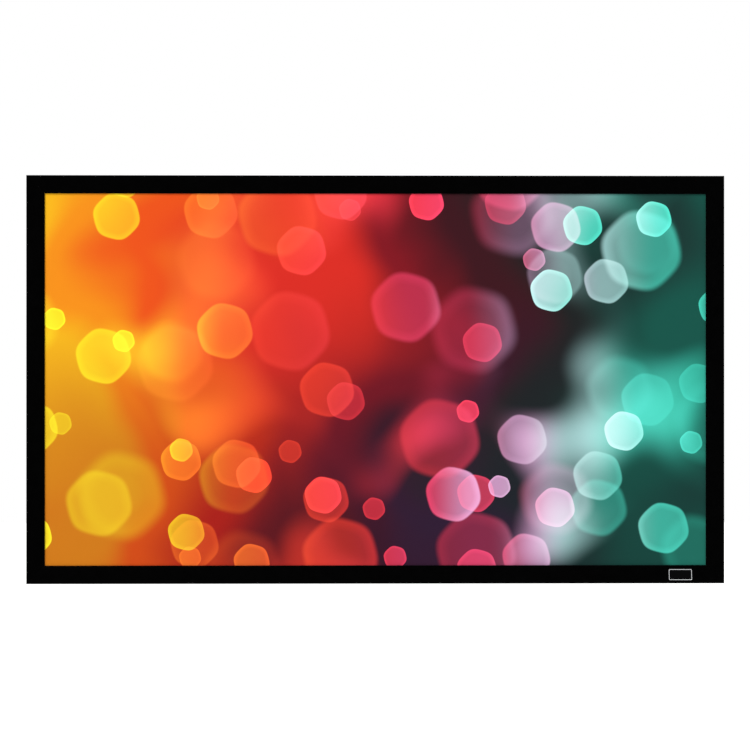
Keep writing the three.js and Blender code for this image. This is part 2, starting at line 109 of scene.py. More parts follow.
def add_node(tree, kind, inputs=None, **settings):
    """The outputs of a new node with those settings, and inputs given by name or number."""
    made = tree.nodes.new(kind)
    for name, value in settings.items():
        setattr(made, name, value)
    for name, value in (inputs or {}).items():
        feed(tree, made.inputs[name], value)
    return made.outputs


def maths(tree, operation, *values):
    return add_node(tree, "ShaderNodeMath", dict(enumerate(values)), operation=operation)[0]


def seen_directly(tree):
    """1 for what the camera sees by itself, in a reflection or through glass, and otherwise 0."""
    ray = add_node(tree, "ShaderNodeLightPath")
    direct = maths(tree, "MAXIMUM", ray["Is Camera Ray"], ray["Is Glossy Ray"])
    return maths(tree, "MAXIMUM", direct, ray["Is Transmission Ray"])


def add_sun(name, strength, azimuth, elevation, spread):
    """A distant lamp. Azimuth 0 is the viewer's side and 90 degrees the screen's right."""
    lamp = bpy.data.lights.new(name, "SUN")
    lamp.energy = strength
    lamp.angle = radians(spread)
    level = cos(radians(elevation))
    towards = Vector((
        sin(radians(azimuth)) * level,
        -cos(radians(azimuth)) * level,
        sin(radians(elevation)),
    ))
    link_piece(name, lamp).rotation_euler = towards.to_track_quat("Z", "Y").to_euler()


add_sun("key", strength=1.8, azimuth=-25, elevation=42, spread=25)
add_sun("back_light", strength=1.2, azimuth=150, elevation=48, spread=35)

world = bpy.data.worlds.new("studio")
world.use_nodes = True
scene.world = world
sky = world.node_tree
sky.nodes.clear()
lighting = add_node(sky, "ShaderNodeBackground", {"Color": white, "Strength": surround_light})[0]
background = add_node(sky, "ShaderNodeBackground", {"Color": white, "Strength": background_white})[0]
sky_mix = add_node(sky, "ShaderNodeMixShader", {0: seen_directly(sky), 1: lighting, 2: background})[0]
add_node(sky, "ShaderNodeOutputWorld", {"Surface": sky_mix})

# Floor: pale and plain, as far below the screen as it would be under one that hangs at eye level.
# It shows white but keeps the screen's shadow, and it is clear from below.
floor_level = -1.9
floor_reach = 20
floor_dull = (0.7954, 0.7954, 0.7857, 1)
floor_clean = (0.82, 0.82, 0.81, 1)
floor_lift = 0.3  # added for the camera, so that the unshaded floor is white
noise_low = 0.3  # most of a noise's values lie between these
noise_high = 0.7


def new_material(name, fixed):
    """A material with a Principled shader, which gets the fixed values on its own sockets."""
    made = bpy.data.materials.new(name)
    made.use_nodes = True
    tree = made.node_tree
    shader = tree.nodes["Principled BSDF"]
    for label, value in fixed.items():
        shader.inputs[label].default_value = value
    return made, tree, shader


def coat(tree, shader, colour, roughness):
    feed(tree, shader.inputs["Base Color"], colour)
    feed(tree, shader.inputs["Roughness"], roughness)


def object_position(tree):
    return add_node(tree, "ShaderNodeTexCoord")["Object"]


def noise(tree, position, scale, detail=2, sharpness=0.5):
    """The value of a noise texture, whose scale is in waves to the metre."""
    inputs = {"Vector": position, "Scale": scale, "Detail": detail, "Roughness": sharpness}
    return add_node(tree, "ShaderNodeTexNoise", inputs)["Fac"]


def mapped(tree, value, low, high, new_low=0.0, new_high=1.0, ease="LINEAR"):
    inputs = {"Value": value, "From Min": low, "From Max": high, "To Min": new_low, "To Max": new_high}
    return add_node(tree, "ShaderNodeMapRange", inputs, interpolation_type=ease)["Result"]


def spread_out(tree, pattern, low, high):
    """A noise whose usual values reach from low to high."""
    return mapped(tree, pattern, noise_low, noise_high, low, high)


def mixed(tree, factor, first, second, blend_type="MIX"):
    """Two colours mixed, with the second on top."""
    inputs = {0: factor, 6: first, 7: second}
    return add_node(tree, "ShaderNodeMix", inputs, data_type="RGBA", blend_type=blend_type)[2]


def node_group(name, inputs, outputs, kind="ShaderNodeTree"):
    """A new node group, what goes into it and what it gives. Its sockets are listed under their
    kinds."""
    tree = bpy.data.node_groups.new(name, kind)
    for way, sockets in (("INPUT", inputs), ("OUTPUT", outputs)):
        for socket_kind, labels in sockets.items():
            for label in labels:
                tree.interface.new_socket(label, in_out=way, socket_type=f"NodeSocket{socket_kind}")
    return tree, tree.nodes.new("NodeGroupInput").outputs, tree.nodes.new("NodeGroupOutput").inputs


def use_group(tree, group, inputs):
    return add_node(tree, "ShaderNodeGroup", inputs, node_tree=group)


def mottled_group():
    """Soft patches in which one colour and roughness turn into another."""
    inputs = {
        "Vector": ["Position"],
        "Float": ["Scale", "Detail", "Sharpness", "Start", "End", "First Roughness", "Last Roughness"],
        "Color": ["First Colour", "Last Colour"],
    }
    tree, given, result = node_group("mottled", inputs, {"Color": ["Colour"], "Float": ["Roughness"]})
    pattern = noise(tree, given["Position"], given["Scale"], given["Detail"], given["Sharpness"])
    share = mapped(tree, pattern, given["Start"], given["End"])
    feed(tree, result["Colour"], mixed(tree, share, given["First Colour"], given["Last Colour"]))
    roughness = spread_out(tree, pattern, given["First Roughness"], given["Last Roughness"])
    feed(tree, result["Roughness"], roughness)
    return tree


mottled = mottled_group()


def mottle(tree, shader, scale, detail, colours, roughness=None, span=(0, 1), sharpness=0.5):
    """Gives the shader two colours in soft patches, and two roughnesses where they are given.
    The colours change over that span of the pattern's values."""
    inputs = {"Scale": scale, "Detail": detail, "Sharpness": sharpness}
    inputs["Position"] = object_position(tree)
    inputs["Start"], inputs["End"] = span
    inputs["First Colour"], inputs["Last Colour"] = colours
    if roughness:
        inputs["First Roughness"], inputs["Last Roughness"] = roughness
    patches = use_group(tree, mottled, inputs)
    feed(tree, shader.inputs["Base Color"], patches["Colour"])
    if roughness:
        feed(tree, shader.inputs["Roughness"], patches["Roughness"])


def floor_finish():
    made, tree, shader = new_material("floor", {"Roughness": 0.7, "Specular IOR Level": 0.2})
    mottle(tree, shader, scale=3, detail=4, colours=(floor_dull, floor_clean))
    lift = maths(tree, "MULTIPLY", seen_directly(tree), floor_lift)
    glow = add_node(tree, "ShaderNodeEmission", {"Strength": lift})[0]
    lit = add_node(tree, "ShaderNodeAddShader", {0: shader.outputs[0], 1: glow})[0]
    below = add_node(tree, "ShaderNodeNewGeometry")["Backfacing"]
    clear = add_node(tree, "ShaderNodeBsdfTransparent")[0]
    surface = add_node(tree, "ShaderNodeMixShader", {0: below, 1: lit, 2: clear})[0]
    feed(tree, tree.nodes["Material Output"].inputs["Surface"], surface)
    return made


floor_mesh = bpy.data.meshes.new("floor")
floor_corners = [(-1, -1), (1, -1), (1, 1), (-1, 1)]
floor_mesh.from_pydata(
    [(x * floor_reach, y * floor_reach, floor_level) for x, y in floor_corners],
    [],
    [(0, 1, 2, 3)],
)
floor = link_piece("floor", floor_mesh)
floor_mesh.materials.append(floor_finish())

# Rails: six lengths of one aluminium extrusion, left as they come from the die, with fine lines
# along them, and sawn to a mitre at the corners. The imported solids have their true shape.
mill_colour = (0.53, 0.54, 0.555, 1)
mill_roughness = (0.26, 0.44)
mill_patch_scale = 9
mill_span = (0.75, 1.25)  # of the streaks and the patches together
mill_shades = (0.7, 1.1)
mill_relief = 0.00008  # a relief is the height in metres from the bottom of the marks to the top
die_line_scale = 1400  # lines to the metre
streak_scale = 130
fine_share = 0.35  # of the fine lines in the relief
along_squeeze = 0.004  # how far a line is drawn out along the extrusion
# Each length of rail: its side, and whether each end is mitred (True) or butts in the middle (False)
rail_spans = {
    "top_left": ("top", True, False),
    "top_right": ("top", False, True),
    "right": ("right", True, True),
    "bottom_right": ("bottom", True, False),
    "bottom_left": ("bottom", False, True),
    "left": ("left", True, True),
}
side_axes = {"top": "X", "right": "Z", "bottom": "X", "left": "Z"}


def drawn_lines_group():
    """The fine lines and broad streaks that a die leaves, for a position squeezed along them."""
    inputs = {"Vector": ["Position"], "Float": ["Lines", "Streaks"]}
    tree, given, result = node_group("drawn_lines", inputs, {"Float": ["Height", "Shade"]})
    fine = noise(tree, given["Position"], given["Lines"], 2, 0.6)
    broad = noise(tree, given["Position"], given["Streaks"], 3, 0.55)
    fine_height = maths(tree, "MULTIPLY", fine, fine_share)
    broad_height = maths(tree, "MULTIPLY", broad, 1 - fine_share)
    feed(tree, result["Height"], maths(tree, "ADD", fine_height, broad_height))
    feed(tree, result["Shade"], broad)
    return tree


drawn_lines = drawn_lines_group()


def bumped(tree, shader, height, relief, strength=1.0):
    """Feeds the shader's normal from a height of 0 to 1."""
    inputs = {"Height": height, "Distance": relief, "Strength": strength}
    feed(tree, shader.inputs["Normal"], add_node(tree, "ShaderNodeBump", inputs)["Normal"])


def drawn_marks(tree, along, lines, streaks):
    """The height and the shade of a die's marks along the piece's X or Z."""
    scale = [1.0, 1.0, 1.0]
    scale["XYZ".index(along)] = along_squeeze
    inputs = {"Vector": object_position(tree), "Scale": scale}
    position = add_node(tree, "ShaderNodeMapping", inputs)["Vector"]
    return use_group(tree, drawn_lines, {"Position": position, "Lines": lines, "Streaks": streaks})


def mill_aluminium(along):
    made, tree, shader = new_material(f"mill_aluminium_{along}", {"Metallic": 1.0})
    marks = drawn_marks(tree, along, die_line_scale, streak_scale)
    patches = noise(tree, object_position(tree), mill_patch_scale, 4)
    shade = mapped(tree, maths(tree, "ADD", marks["Shade"], patches), *mill_span, *mill_shades)
    colour = mixed(tree, 1.0, mill_colour, shade, "MULTIPLY")
    coat(tree, shader, colour, spread_out(tree, marks["Shade"], *mill_roughness))
    bumped(tree, shader, marks["Height"], mill_relief)
    return made


def set_finish(node, finish):
    """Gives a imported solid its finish. Its shape and place stay as they are."""
    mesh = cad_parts[node].data
    mesh.materials.clear()
    mesh.materials.append(finish)


mill_finish = {along: mill_aluminium(along) for along in "XZ"}
for label, (side, *_) in rail_spans.items():
    set_finish(f"{label}_rail", mill_finish[side_axes[side]])

# Velvet: a strip of short black pile on a woven back, glued round each rail from behind the inner
# lip, over the sloped face and round the outside. It is cut to the mitre and rolls over there.
rail_gap = 0.0003  # glue between the rail and the velvet
velvet_thickness = 0.0007
lip_corner_out = 0.001
lip_back = 0.022  # depths are measured forward from the wall
lip_front = 0.025
land_out = 0.05
rail_front = 0.036
rail_out = 0.059
rail_back = 0.003
tuck_out = 0.004
turn_out = 0.0542
pile_round = 0.0009  # how tightly the pile turns a corner
outer_round = 0.0025
land_round = 0.006
corner_steps = 5
end_roll = 0.0004  # the pile rolls over at a cut end
end_steps = 4
pile_base = 0.5  # of the velvet's thickness that is left at the very end
mitre_gap = 0.000002
nap_scale = 28
tuft_scale = 900
tuft_relief = 0.0003
velvet_dark = (0.0003, 0.0003, 0.0003, 1)
velvet_light = (0.0045, 0.0045, 0.0048, 1)
picture_reach = Vector((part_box("right_velvet")[0].x, 0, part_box("top_left_velvet")[0].z))
wide = 2 * picture_reach.x
high = 2 * picture_reach.z
side_lengths = {"top": wide, "right": high, "bottom": wide, "left": high}


# From a side's own frame, with X along it and Z out from the picture's edge, to the screen's
side_frames = {
    side: Matrix.Rotation(turn, 4, "Y") @ Matrix.Translation((0, 0, reach))
    for side, turn, reach in [
        ("top", 0, picture_reach.z),
        ("right", pi / 2, picture_reach.x),
        ("bottom", pi, picture_reach.z),
        ("left", -pi / 2, picture_reach.x),
    ]
}
rail_path = [
    Vector(point)
    for point in [
        (tuck_out, lip_back),
        (lip_corner_out, lip_back),
        (lip_corner_out, lip_front),
        (land_out, rail_front),
        (rail_out, rail_front),
        (rail_out, rail_back),
        (turn_out, rail_back),
    ]
]


def offset_path(points, distance):
    """The path moved sideways, to the left of the way that it runs."""
    ways = [(b - a).normalized() for a, b in zip(points, points[1:])]
    lefts = [Vector((-way.y, way.x)) for way in ways]
    moved = [points[0] + lefts[0] * distance]
    for point, left, right in zip(points[1:], lefts, lefts[1:]):
        mitre = (left + right).normalized()
        moved.append(point + mitre * (distance / mitre.dot(left)))
    moved.append(points[-1] + lefts[-1] * distance)
    return moved


def rounded_path(points, radii, steps):
    """The path with an arc of that radius at each corner, each with the same number of steps."""
    path = [points[0]]
    for before, point, after, radius in zip(points, points[1:], points[2:], radii):
        inward = (before - point).normalized()
        onward = (after - point).normalized()
        half = inward.angle(onward) / 2
        centre = point + (inward + onward).normalized() * (radius / sin(half))
        first = point + inward * (radius / tan(half)) - centre
        last = point + onward * (radius / tan(half)) - centre
        for step in range(steps + 1):
            path.append(centre + first.slerp(last, step / steps, first).normalized() * radius)
    path.append(points[-1])
    return path


def velvet_path(height):
    """The velvet's section at that height over the rail, from its tucked end to its turned end."""
    share = height / (rail_gap + velvet_thickness)
    radii = [pile_round * share, pile_round * share, land_round, outer_round * share, pile_round * share]
    return rounded_path(offset_path(rail_path, height), radii, corner_steps)


def own_piece(name, mesh, slot_name, *nodes):
    """A piece in its place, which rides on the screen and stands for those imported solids."""
    piece = link_piece(name, mesh)
    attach(piece, "root")
    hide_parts(*nodes)
    return piece


def mesh_of(name, vertices, faces, placed=None):
    """A closed mesh with its normals outward."""
    shape = bmesh.new()
    made = [shape.verts.new(vertex) for vertex in vertices]
    for face in faces:
        shape.faces.new([made[i] for i in face])
    if placed is not None:
        shape.transform(placed)
    bmesh.ops.recalc_face_normals(shape, faces=shape.faces[:])
    mesh = bpy.data.meshes.new(name)
    shape.to_mesh(mesh)
    shape.free()
    return mesh


def ring_faces(ring_count, size):
    """The faces between closed rings of points, one ring after the other."""
    faces = []
    for start in range(0, (ring_count - 1) * size, size):
        for i in range(size):
            after = (i + 1) % size
            faces.append((start + i, start + after, start + size + after, start + size + i))
    return faces


def smooth(mesh, sharpest):
    """Smooth shading, with sharp edges where faces meet at more than that many degrees."""
    mesh.shade_smooth()
    mesh.set_sharp_from_angle(angle=radians(sharpest))


def velvet_mesh(label):
    side, *mitred = rail_spans[label]
    glued = velvet_path(rail_gap)
    insets = [end_roll * (1 - cos(pi / 2 * step / end_steps)) for step in range(end_steps + 1)]
    stations = [(-1, mitred[0], inset) for inset in insets]
    stations += [(1, mitred[1], inset) for inset in reversed(insets)]
    vertices = []
    for sign, is_mitre, inset in stations:
        rolled = sqrt(1 - (1 - inset / end_roll) ** 2)
        pile = velvet_path(rail_gap + velvet_thickness * (pile_base + (1 - pile_base) * rolled))
        for out, depth in pile + glued[::-1]:
            reach = (side_lengths[side] / 2 + out if is_mitre else 0) - mitre_gap
            vertices.append((sign * (reach - inset), -depth, out))
    size = 2 * len(glued)
    faces = ring_faces(len(stations), size)
    for start in (0, len(vertices) - size):
        for i in range(len(glued) - 1):
            back = size - 1 - i
            faces.append((start + i, start + i + 1, start + back - 1, start + back))
    mesh = mesh_of(f"{label}_pile", vertices, faces, side_frames[side])
    smooth(mesh, 30)
    return mesh


def velvet_finish():
    made, tree, shader = new_material(
        "black_velvet",
        {"Roughness": 1.0, "Specular IOR Level": 0.01, "Sheen Weight": 0.12, "Sheen Roughness": 0.2},
    )
    position = object_position(tree)
    nap = spread_out(tree, noise(tree, position, nap_scale, 4, 0.6), 0.3, 1.0)
    tufts = noise(tree, position, tuft_scale, 2, 0.7)
    tips = maths(tree, "MULTIPLY", mapped(tree, tufts, 0.5, 0.75), nap)
    feed(tree, shader.inputs["Base Color"], mixed(tree, tips, velvet_dark, velvet_light))
    bumped(tree, shader, tufts, tuft_relief, 0.5)
    return made


velvet = velvet_finish()
for label in rail_spans:
    mesh = velvet_mesh(label)
    mesh.materials.append(velvet)
    own_piece(f"{label}_pile", mesh, "velvet", f"{label}_velvet")

# Screen sheet: one piece of soft vinyl, black behind, with the picture printed on its front. Each
# edge is turned back round a rod and heat welded, and half-moon notches bare the rod for the
# springs.
sheet_front = 0.0207
sheet_thickness = 0.0005
sheet_back = sheet_front - sheet_thickness
corner_cut = 0.02
rod_radius = 0.0025
rod_out = 0.013
rod_depth = 0.0174
pocket_radius = rod_radius + 0.0003
pocket_reach = 0.009  # from the rod's middle to where the two plies meet
weld_width = 0.01
pocket_end = 0.045
notch_radius = 0.009
notch_depth = 0.02
spring_room = 0.225  # the most length of side for each spring
fold_steps = 28
notch_sides = 48
depth_slack = 0.00005  # these two tell the sheet's faces by their depths and the ways they look
straight = 0.99

# The print: a soft field of colour from amber at the left to teal at the right, brighter above
# than below, with clouds of light and layers of blurred six-sided spots.
field_cloud = 1.6
field_drift = 0.34
field_rise = (0.1, 0.75)  # where the lower colours turn into the upper ones, from 0 below to 1 above
upper_colours = {
    0.0: (0.85, 0.45, 0.008),
    0.09: (0.82, 0.25, 0.006),
    0.2: (0.75, 0.075, 0.006),
    0.38: (0.62, 0.02, 0.012),
    0.53: (0.19, 0.004, 0.01),
    0.64: (0.035, 0.003, 0.007),
    0.77: (0.007, 0.009, 0.009),
    0.88: (0.005, 0.028, 0.024),
    1.0: (0.004, 0.075, 0.055),
}
lower_colours = {
    0.0: (0.55, 0.17, 0.006),
    0.1: (0.55, 0.06, 0.004),
    0.25: (0.34, 0.009, 0.005),
    0.4: (0.07, 0.003, 0.008),
    0.55: (0.03, 0.003, 0.014),
    0.64: (0.02, 0.006, 0.024),
    0.74: (0.007, 0.01, 0.015),
    0.86: (0.004, 0.022, 0.02),
    1.0: (0.003, 0.045, 0.035),
}
spot_colours = {
    0.0: (1.0, 0.86, 0.015),
    0.13: (1.0, 0.72, 0.015),
    0.22: (1.0, 0.17, 0.015),
    0.36: (1.0, 0.05, 0.02),
    0.52: (1.0, 0.04, 0.06),
    0.64: (1.0, 0.06, 0.16),
    0.72: (0.95, 0.5, 0.85),
    0.8: (0.6, 1.0, 1.0),
    0.9: (0.08, 0.75, 0.58),
    1.0: (0.03, 0.42, 0.3),
}
glow_wave = 2.1
glow_seed = 8.3
glow_span = (0.53, 0.74)
glow_strength = 0.8
spot_power = 7.0  # how sharp a spot's six corners are
spot_radii = (0.24, 0.42)  # as shares of a cell, as is the room round a spot
spot_room = 1.1
spot_fades = (0.35, 1.0)
spot_tint_drift = 0.07
rim_width = 0.22  # as a share of the spot's radius
rim_inside = 0.72  # how bright a spot is inside its rim
second_draw = 0.37  # the shift that gives a cell a second set of random numbers
# Each layer of spots. Its cells are in metres, and its share is that of the cells with a spot.
spot_inputs = ["Cell", "Turn", "Share", "Softness", "Brightness", "Seed"]
spot_layers = [
    (0.47, radians(21), 0.75, 0.3, 0.28, 3),
    (0.4, radians(-13), 0.6, 0.16, 0.44, 8),
    (0.31, radians(37), 0.42, 0.08, 0.75, 5),
    (0.24, radians(5), 0.28, 0.04, 1.1, 11),
    (0.15, radians(-28), 0.08, 0.04, 1.1, 2),
]


def colour_ramp(tree, place, colours):
    """A colour for each place from 0 to 1, smoothly from one given colour to the next."""
    made = tree.nodes.new("ShaderNodeValToRGB")
    feed(tree, made.inputs["Fac"], place)
    ramp = made.color_ramp
    ramp.interpolation = "EASE"
    for i, (at, colour) in enumerate(colours.items()):
        stop = ramp.elements[i] if i < 2 else ramp.elements.new(at)
        stop.position = at
        stop.color = (*colour, 1)
    return made.outputs["Color"]


def vector_maths(tree, operation, *values):
    made = add_node(tree, "ShaderNodeVectorMath", dict(enumerate(values)), operation=operation)
    return made["Value" if operation == "DOT_PRODUCT" else "Vector"]


def turned_vector(tree, vector, angle):
    inputs = {"Vector": vector, "Angle": angle}
    return add_node(tree, "ShaderNodeVectorRotate", inputs, rotation_type="Z_AXIS")[0]


def xyz(tree, **parts):
    """A vector from its X, its Y and its Z, which are 0 where they aren't given."""
    return add_node(tree, "ShaderNodeCombineXYZ", parts)[0]


def parts_of(tree, vector):
    return add_node(tree, "ShaderNodeSeparateXYZ", {"Vector": vector})


def channels_of(tree, colour):
    return add_node(tree, "ShaderNodeSeparateColor", {"Color": colour})


def random_colour(tree, key):
    """The random value and colour that belong to a key."""
    return add_node(tree, "ShaderNodeTexWhiteNoise", {"Vector": key}, noise_dimensions="3D")


def spot_layer_group():
    """One layer of spots, one at most in each cell of a turned grid, laid over a colour."""
    inputs = {"Color": ["Colour"], "Vector": ["Place"], "Float": spot_inputs}
    tree, given, result = node_group("spot_layer", inputs, {"Color": ["Colour"]})
    scaling = {
        0: turned_vector(tree, given["Place"], given["Turn"]),
        "Scale": maths(tree, "DIVIDE", 1.0, given["Cell"]),
    }
    grid = add_node(tree, "ShaderNodeVectorMath", scaling, operation="SCALE")[0]
    cell = vector_maths(tree, "FLOOR", grid)
    within = vector_maths(tree, "SUBTRACT", vector_maths(tree, "SUBTRACT", grid, cell), (0.5, 0.5, 0))
    key = vector_maths(tree, "ADD", cell, xyz(tree, Z=given["Seed"]))
    draw = random_colour(tree, key)
    first = channels_of(tree, draw["Color"])
    again = random_colour(tree, vector_maths(tree, "ADD", key, (0, 0, second_draw)))
    second = channels_of(tree, again["Color"])
    radius = mapped(tree, first["Red"], 0, 1, *spot_radii)
    room = maths(tree, "SUBTRACT", 0.5, maths(tree, "MULTIPLY", radius, spot_room))
    centre = xyz(
        tree,
        X=maths(tree, "MULTIPLY", room, mapped(tree, second["Red"], 0, 1, -1, 1)),
        Y=maths(tree, "MULTIPLY", room, mapped(tree, second["Green"], 0, 1, -1, 1)),
    )
    from_centre = vector_maths(tree, "SUBTRACT", within, centre)
    upright = turned_vector(tree, from_centre, maths(tree, "MULTIPLY", given["Turn"], -1.0))
    total = 0.0
    for face in range(3):
        way = (cos(face * pi / 3 + pi / 12), sin(face * pi / 3 + pi / 12), 0)
        distance = maths(tree, "ABSOLUTE", vector_maths(tree, "DOT_PRODUCT", upright, way))
        total = maths(tree, "ADD", maths(tree, "POWER", distance, spot_power), total)
    reach = maths(tree, "POWER", total, 1 / spot_power)
    share_out = maths(tree, "DIVIDE", reach, radius)
    edge_start = maths(tree, "SUBTRACT", 1.0, given["Softness"])
    rim_start = maths(tree, "SUBTRACT", edge_start, rim_width)
    weight = given["Brightness"]
    for share in (
        mapped(tree, share_out, edge_start, 1.0, 1.0, 0.0, "SMOOTHSTEP"),
        mapped(tree, share_out, rim_start, edge_start, rim_inside, 1.0),
        mapped(tree, first["Green"], 0, 1, *spot_fades),
        maths(tree, "LESS_THAN", draw["Value"], given["Share"]),
    ):
        weight = maths(tree, "MULTIPLY", weight, share)
    along = mapped(tree, parts_of(tree, given["Place"])["X"], -picture_reach.x, picture_reach.x)
    drift = mapped(tree, first["Blue"], 0, 1, -spot_tint_drift, spot_tint_drift)
    tint = colour_ramp(tree, maths(tree, "ADD", along, drift), spot_colours)
    feed(tree, result["Colour"], mixed(tree, weight, given["Colour"], tint, "SCREEN"))
    return tree


def printed_design_group():
    """The whole print, for a position on the sheet."""
    tree, given, result = node_group("printed_design", {"Vector": ["Position"]}, {"Color": ["Colour"]})
    part = parts_of(tree, given["Position"])
    place = xyz(tree, X=part["X"], Y=part["Z"])
    cloud = mapped(tree, noise(tree, place, field_cloud, 1.5, 0.4), 0, 1, -field_drift, field_drift)
    along = mapped(tree, part["X"], -picture_reach.x, picture_reach.x)
    drifted = maths(tree, "ADD", along, cloud)
    height = mapped(tree, part["Z"], -picture_reach.z, picture_reach.z)
    level = mapped(tree, maths(tree, "ADD", height, cloud), *field_rise, ease="SMOOTHSTEP")
    lower = colour_ramp(tree, drifted, lower_colours)
    upper = colour_ramp(tree, drifted, upper_colours)
    colour = mixed(tree, level, lower, upper)
    waves = {"Vector": place, "W": glow_seed, "Scale": glow_wave, "Detail": 1.0}
    clouds = add_node(tree, "ShaderNodeTexNoise", waves, noise_dimensions="4D")["Fac"]
    glow = mapped(tree, clouds, *glow_span, 0, glow_strength, "SMOOTHSTEP")
    colour = mixed(tree, glow, colour, colour_ramp(tree, along, spot_colours), "SCREEN")
    spots = spot_layer_group()
    for layer in spot_layers:
        inputs = {"Colour": colour, "Place": place, **dict(zip(spot_inputs, layer))}
        colour = use_group(tree, spots, inputs)["Colour"]
    feed(tree, result["Colour"], colour)
    return tree


# The sheet's four finishes: bare white vinyl where the edge turns over, the printed front, the
# black back, and the knurl that the welding tool leaves on the seam.
vinyl_grain = 2200
front_relief = 0.00004
back_relief = 0.00006
knurl_pitch = 0.003
knurl_relief = 0.0002
back_dark = (0.0025, 0.0025, 0.003, 1)
back_light = (0.015, 0.015, 0.0168, 1)
white_dull = (0.72, 0.72, 0.69, 1)
white_clean = (0.8, 0.8, 0.78, 1)
white_patches = {"scale": 14, "detail": 3, "colours": (white_dull, white_clean)}


def mottled_finish(name, fixed, grain=None, **patches):
    """A material in soft patches, with a fine grain given as its scale, relief and strength."""
    made, tree, shader = new_material(name, fixed)
    mottle(tree, shader, **patches)
    if grain:
        scale, relief, strength = grain
        bumped(tree, shader, noise(tree, object_position(tree), scale), relief, strength)
    return made


def printed_front():
    made, tree, shader = new_material("printed_front", {"Roughness": 0.75, "Specular IOR Level": 0.12})
    position = object_position(tree)
    colour = use_group(tree, printed_design_group(), {"Position": position})["Colour"]
    feed(tree, shader.inputs["Base Color"], colour)
    bumped(tree, shader, noise(tree, position, vinyl_grain), front_relief, 0.4)
    return made


def welded_seam():
    made, tree, shader = new_material("welded_seam", {"Roughness": 0.45, "Specular IOR Level": 0.3})
    mottle(tree, shader, **white_patches)
    part = parts_of(tree, object_position(tree))
    ridges = []
    for way in ("ADD", "SUBTRACT"):
        across = maths(tree, "MULTIPLY", maths(tree, way, part["X"], part["Z"]), 2 * pi / knurl_pitch)
        ridges.append(maths(tree, "SINE", across))
    studs = mapped(tree, maths(tree, "MULTIPLY", *ridges), -0.2, 0.5)
    bumped(tree, shader, studs, knurl_relief, 0.8)
    return made


sheet_finishes = [
    mottled_finish(
        "bare_vinyl",
        {"Roughness": 0.6, "Specular IOR Level": 0.3},
        grain=(vinyl_grain, front_relief, 0.4),
        **white_patches,
    ),
    printed_front(),
    mottled_finish(
        "black_back",
        {"Specular IOR Level": 0.12},
        grain=(vinyl_grain, back_relief, 0.6),
        scale=4,
        detail=6,
        sharpness=0.65,
        colours=(back_dark, back_light),
        span=(noise_low, noise_high),
        roughness=(0.42, 0.7),
    ),
    welded_seam(),
]
BARE, PRINTED, BACK, SEAM = range(4)


def sheet_face_finish(face):
    """Which finish a face of the sheet has, from where it lies and which way it looks."""
    for finish, way, depth in (
        (PRINTED, -1, sheet_front),
        (BACK, 1, sheet_back),
        (SEAM, 1, sheet_back - sheet_thickness),
    ):
        if way * face.normal.y > straight and abs(face.center.y + depth) < depth_slack:
            return finish
    return BARE


def spring_row(side):
    """How many springs a side has, the distance between them and the place of the first."""
    count = 2 * int(-(-side_lengths[side] / 2 // spring_room))
    pitch = side_lengths[side] / count
    return count, pitch, (pitch - side_lengths[side]) / 2


def lofted_mesh(name, rings, placed=None):
    """A closed mesh through rings of points, with a flat face at each end."""
    size = len(rings[0])
    vertices = [vertex for ring in rings for vertex in ring]
    faces = ring_faces(len(rings), size)
    faces += [tuple(range(size)), tuple(range(len(vertices) - size, len(vertices)))]
    return mesh_of(name, vertices, faces, placed)


def prism(name, section, start, end, placed):
    """A section in (out, depth) drawn out along a side."""
    rings = [[(along, -depth, out) for out, depth in section] for along in (start, end)]
    return lofted_mesh(name, rings, placed)


def arc(centre, radius, start, end, steps):
    """Points on an arc about a centre in (out, depth)."""
    turns = [start + (end - start) * step / steps for step in range(steps + 1)]
    return [Vector((centre[0] + radius * cos(a), centre[1] + radius * sin(a))) for a in turns]


def joined_mesh(name, meshes):
    shape = bmesh.new()
    for mesh in meshes:
        shape.from_mesh(mesh)
    made = bpy.data.meshes.new(name)
    shape.to_mesh(made)
    shape.free()
    return made


def evaluated_mesh(holder):
    """The plain mesh that an object's modifiers make. The object is then removed."""
    made = bpy.data.meshes.new_from_object(holder.evaluated_get(bpy.context.evaluated_depsgraph_get()))
    bpy.data.objects.remove(holder)
    return made


def geometry_tree(name, inputs):
    """A Geometry Nodes tree with those inputs, what goes into it and where its result goes."""
    shape = {"Geometry": ["Geometry"]}
    tree, given, result = node_group(name, {**shape, **inputs}, shape, "GeometryNodeTree")
    return tree, given, result[0]


def grown_mesh(name, tree, inputs, base=None):
    """The plain mesh that a tree makes with those inputs, from a base mesh if it needs one."""
    holder = link_piece(name, base or bpy.data.meshes.new("empty"))
    modifier = holder.modifiers.new(name, "NODES")
    modifier.node_group = tree
    for socket in tree.interface.items_tree:
        if socket.name in inputs:
            modifier[socket.identifier] = inputs[socket.name]
    made = evaluated_mesh(holder)
    if made.materials and made.materials[0] is None:
        made.materials.pop(index=0)
    return made


def row_of_points(tree, count, first, pitch):
    """Points along X."""
    inputs = {"Count": count, "Start Location": xyz(tree, X=first), "Offset": xyz(tree, X=pitch)}
    return add_node(tree, "GeometryNodeMeshLine", inputs)["Mesh"]


def placed_copies(tree, points, shape, rotation=(0, 0, 0)):
    inputs = {"Points": points, "Instance": shape, "Rotation": rotation}
    return add_node(tree, "GeometryNodeInstanceOnPoints", inputs)["Instances"]


def finished_solid(tree, shape, finish):
    """The shape as real geometry with its finish."""
    solid = add_node(tree, "GeometryNodeRealizeInstances", {"Geometry": shape})[0]
    return add_node(tree, "GeometryNodeSetMaterial", {"Geometry": solid, "Material": finish})[0]


